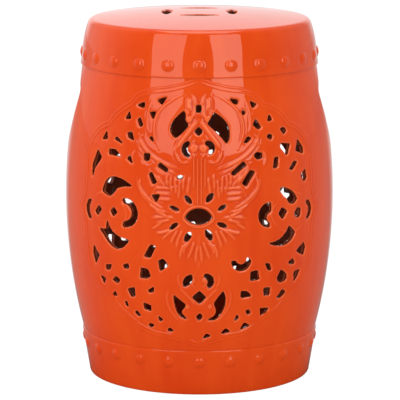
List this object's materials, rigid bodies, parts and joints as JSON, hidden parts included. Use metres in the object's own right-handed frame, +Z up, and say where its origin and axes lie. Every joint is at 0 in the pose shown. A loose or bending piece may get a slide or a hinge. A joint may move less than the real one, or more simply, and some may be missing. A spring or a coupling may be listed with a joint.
{
  "type": "ceramic garden stool",
  "caption": "Glazed ceramic garden stool: hollow barrel with pierced scroll medallions front and rear, nail-head bands and a domed seat with a pierced coin.",
  "frame": {"origin": "middle of the foot ring at floor level", "axes": "+Z up along the barrel's axis; the front medallion faces -Y and the side grips face +X and -X"},
  "size_m": [0.341, 0.3442, 0.463],
  "materials": {
    "orange_glaze": "glossy orange-red glaze over fired stoneware",
    "foot_glaze": "the same glaze down to the foot, wiped off under the ring"
  },
  "bodies": {
    "root": {"seat_slab": "orange_glaze", "shoulder_band": "orange_glaze", "barrel_wall": "orange_glaze", "base_band": "orange_glaze", "front_medallion": "orange_glaze", "rear_medallion": "orange_glaze", "front_frame": "orange_glaze", "rear_frame": "orange_glaze", "front_collar": "orange_glaze", "rear_collar": "orange_glaze", "front_stem": "orange_glaze", "rear_stem": "orange_glaze", "upper_nail_heads": "orange_glaze", "lower_nail_heads": "orange_glaze", "foot_ring": "foot_glaze"}
  },
  "joints": []
}
